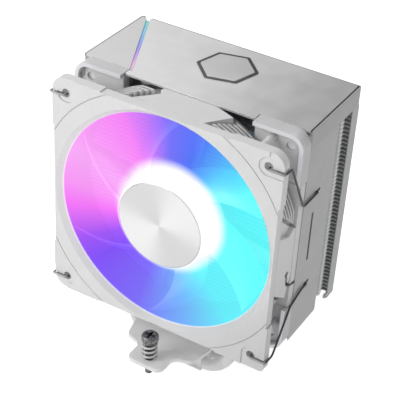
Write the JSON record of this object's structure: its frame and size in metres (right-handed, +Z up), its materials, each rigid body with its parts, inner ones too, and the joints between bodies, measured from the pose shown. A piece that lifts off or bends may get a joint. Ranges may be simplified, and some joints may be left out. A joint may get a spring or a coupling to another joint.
{
  "type": "cpu tower cooler",
  "caption": "Tower heatsink for a processor: a stack of thin fins on bent heat pipes over a contact base, with a lit axial fan clipped on and a capped top with a light strip.",
  "frame": {"origin": "middle of the contact face that presses on the processor", "axes": "+Z up through the fins, +Y from the fan towards the fins, +X to the right seen from the fan"},
  "size_m": [0.1224, 0.095, 0.1555],
  "materials": {
    "frame_plastic": "matte",
    "pad_silicone": "satin",
    "glow_plastic": "satin",
    "spun_metal": "brushed",
    "cup_steel": "satin",
    "magnet": "matte",
    "shaft_steel": "polished",
    "bush_brass": "satin",
    "core_steel": "matte",
    "winding": "satin",
    "board": "matte",
    "led": "satin",
    "label_foil": "satin",
    "cable_sleeve": "matte",
    "coated_fin": "satin",
    "coated_pipe": "satin",
    "contact_plate": "brushed",
    "block_paint": "satin",
    "bar_paint": "satin",
    "dark_steel": "satin",
    "spring_steel": "satin",
    "clip_wire": "satin",
    "shell_plastic": "satin",
    "brushed_plate": "brushed",
    "side_plate": "satin",
    "diffuser": "satin",
    "badge_dark": "satin",
    "badge_bright": "brushed"
  },
  "bodies": {
    "tower": {"fan_frame": "frame_plastic", "corner_pads": "pad_silicone", "bearing_bush": "bush_brass", "stator_core": "core_steel", "stator_coils": "winding", "fan_board": "board", "fan_leds": "led", "motor_label": "label_foil", "fan_cable": "cable_sleeve", "fin_stack": "coated_fin", "heat_pipe_1": "coated_pipe", "heat_pipe_2": "coated_pipe", "heat_pipe_3": "coated_pipe", "heat_pipe_4": "coated_pipe", "base_plate": "contact_plate", "base_block": "block_paint", "base_screws": "dark_steel", "crossbar": "bar_paint", "crossbar_screws": "dark_steel", "spring_front": "spring_steel", "spring_rear": "spring_steel", "cover_shell": "shell_plastic", "cover_plate": "brushed_plate", "cover_side_plate": "side_plate", "light_strip": "diffuser", "strip_board": "board", "strip_leds": "led", "strip_cable": "cable_sleeve", "badge_rim": "badge_dark", "badge_face": "badge_bright"},
    "rotor": {"impeller": "glow_plastic", "hub_cap": "spun_metal", "rotor_cup": "cup_steel", "magnet_ring": "magnet", "shaft": "shaft_steel", "shaft_ring": "shaft_steel"},
    "clip_right": {"fan_clip_right": "clip_wire"},
    "clip_left": {"fan_clip_left": "clip_wire"},
    "washer_front": {"spring_washer_front": "dark_steel"},
    "screw_front": {"spring_screw_front": "dark_steel", "retaining_clip_front": "dark_steel"},
    "washer_rear": {"spring_washer_rear": "dark_steel"},
    "screw_rear": {"spring_screw_rear": "dark_steel", "retaining_clip_rear": "dark_steel"}
  },
  "joints": [
    {"name": "fan_spin", "type": "hinge", "parent": "tower", "child": "rotor", "pos_m": [0, -0.025, 0.095], "axis": [0, 1, 0], "continuous": true},
    {"name": "clip_right_swing", "type": "hinge", "parent": "tower", "child": "clip_right", "pos_m": [0.0578, -0.0015, 0.092], "axis": [0, 0, 1], "range_deg": [0, 95]},
    {"name": "clip_left_swing", "type": "hinge", "parent": "tower", "child": "clip_left", "pos_m": [-0.0578, -0.0015, 0.092], "axis": [0, 0, -1], "range_deg": [0, 95]},
    {"name": "screw_front_press", "type": "slide", "parent": "tower", "child": "washer_front", "axis": [0, 0, -1], "range_m": [0, 0.0045], "stiffness_N_per_m": 5200, "springref_m": -0.0035, "deforming": ["spring_front"]},
    {"name": "screw_front_turn", "type": "hinge", "parent": "washer_front", "child": "screw_front", "pos_m": [0, -0.0415, 0.0308], "axis": [0, 0, -1], "continuous": true},
    {"name": "screw_rear_press", "type": "slide", "parent": "tower", "child": "washer_rear", "axis": [0, 0, -1], "range_m": [0, 0.0045], "stiffness_N_per_m": 5200, "springref_m": -0.0035, "deforming": ["spring_rear"]},
    {"name": "screw_rear_turn", "type": "hinge", "parent": "washer_rear", "child": "screw_rear", "pos_m": [0, 0.0415, 0.0308], "axis": [0, 0, -1], "continuous": true}
  ]
}
